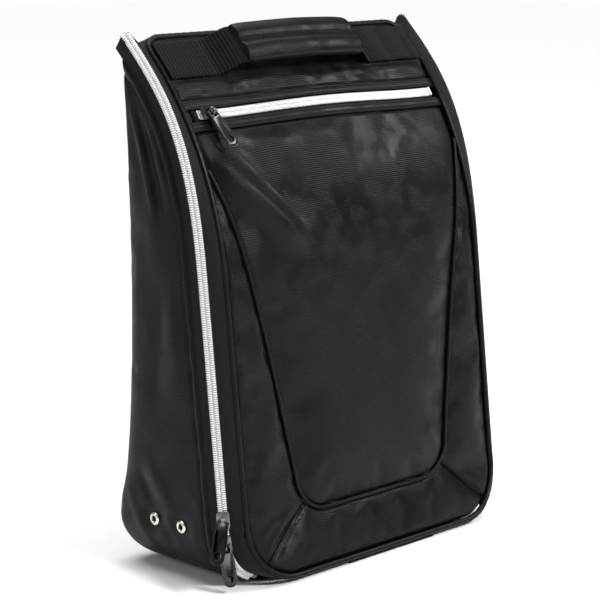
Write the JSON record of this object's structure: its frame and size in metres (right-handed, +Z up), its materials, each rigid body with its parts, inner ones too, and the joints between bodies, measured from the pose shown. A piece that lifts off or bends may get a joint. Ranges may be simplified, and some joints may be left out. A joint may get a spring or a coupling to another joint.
{
  "type": "shoe bag",
  "caption": "Wedge-shaped zipped shoe bag: rear shell, hinged padded lid with a zipped front pocket, and a webbing handle on top.",
  "frame": {"origin": "middle of the flat base, on the surface the bag stands on", "axes": "+Z up, the lid and its pocket face -Y, +X to the right of someone facing the lid"},
  "size_m": [0.2832, 0.1188, 0.3529],
  "materials": {
    "coated_cloth": "black coated woven cloth with a soft gloss and fine cross ribs",
    "lining": "matt dark lining cloth",
    "foam": "grey soft foam sheet",
    "board": "stiff dark board",
    "zip_tape": "matt black woven tape",
    "webbing": "matt black ribbed webbing",
    "zip_coil": "white nylon coil",
    "slider_metal": "glossy black painted metal",
    "eyelet_metal": "pale polished metal"
  },
  "bodies": {
    "shell": {"back_panel": "coated_cloth", "back_lining": "lining", "side_panel_left": "coated_cloth", "side_panel_right": "coated_cloth", "side_lining_left": "lining", "side_lining_right": "lining", "base_panel": "coated_cloth", "base_board": "board", "hinge_web": "zip_tape", "base_strip": "webbing", "zip_coil_shell": "zip_coil", "zip_tape_shell": "zip_tape", "eyelet_left_front": "eyelet_metal", "eyelet_left_rear": "eyelet_metal", "eyelet_right_front": "eyelet_metal", "eyelet_right_rear": "eyelet_metal", "washer_left_front": "eyelet_metal", "washer_left_rear": "eyelet_metal", "washer_right_front": "eyelet_metal", "washer_right_rear": "eyelet_metal"},
    "lid": {"top_panel": "coated_cloth", "facing_upper": "coated_cloth", "facing_lower": "coated_cloth", "pocket_panel": "coated_cloth", "border_left": "coated_cloth", "border_right": "coated_cloth", "border_bottom": "coated_cloth", "lid_piping": "coated_cloth", "panel_piping": "coated_cloth", "pocket_pouch": "lining", "lid_foam": "foam", "lid_lining": "lining", "zip_coil_lid": "zip_coil", "zip_tape_lid": "zip_tape", "zip_stop_left": "slider_metal", "zip_stop_right": "slider_metal", "pocket_tape_upper": "zip_tape", "pocket_tape_lower": "zip_tape", "pocket_coil_upper": "zip_coil", "pocket_coil_lower": "zip_coil", "pocket_stop_left": "slider_metal", "pocket_stop_right": "slider_metal", "webbing_anchor_left": "webbing", "webbing_anchor_right": "webbing"},
    "handle": {"grip_wrap": "coated_cloth", "grip_padding": "foam", "handle_leg_left": "webbing", "handle_leg_right": "webbing"},
    "upper_slider": {"upper_slider": "slider_metal"},
    "upper_pull": {"upper_pull": "slider_metal"},
    "lower_slider": {"lower_slider": "slider_metal"},
    "lower_pull": {"lower_pull": "slider_metal"},
    "pocket_slider": {"pocket_slider": "slider_metal"},
    "pocket_pull": {"pocket_pull": "slider_metal"}
  },
  "joints": [
    {"name": "lid_hinge", "type": "hinge", "parent": "shell", "child": "lid", "pos_m": [0, -0.059, 0.001], "axis": [1, 0, 0], "range_deg": [0, 85]},
    {"name": "handle_lift", "type": "slide", "parent": "lid", "child": "handle", "axis": [0, -0.7299, 0.6835], "range_m": [-0.006, 0.008], "deforming": ["handle_leg_left", "handle_leg_right"]},
    {"name": "upper_slider_travel", "type": "slide", "parent": "lid", "child": "upper_slider", "axis": [0, 0.1045, 0.9945], "range_m": [0, 0.144]},
    {"name": "upper_pull_swing", "type": "hinge", "parent": "upper_slider", "child": "upper_pull", "pos_m": [-0.13443, -0.04256, 0.04686], "axis": [-0.6861, 0.7076, 0.1689], "range_deg": [0, 130]},
    {"name": "lower_slider_travel", "type": "hinge", "parent": "lid", "child": "lower_slider", "pos_m": [-0.1012, -0.04046, 0.034], "axis": [0, -0.9945, 0.1045], "range_deg": [0, 10]},
    {"name": "lower_pull_swing", "type": "hinge", "parent": "lower_slider", "child": "lower_pull", "pos_m": [-0.1343, -0.04417, 0.03148], "axis": [-0.7044, 0.6968, -0.1352], "range_deg": [0, 130]},
    {"name": "pocket_slider_travel", "type": "slide", "parent": "lid", "child": "pocket_slider", "axis": [1, 0, 0], "range_m": [0, 0.202]},
    {"name": "pocket_pull_swing", "type": "hinge", "parent": "pocket_slider", "child": "pocket_pull", "pos_m": [-0.101, -0.00079, 0.30079], "axis": [-0.9659, -0.1401, -0.2176], "range_deg": [0, 150]}
  ],
  "couplings": [
    {"joint": "upper_pull_swing", "follows": "lower_pull_swing", "ratio": 1}
  ]
}
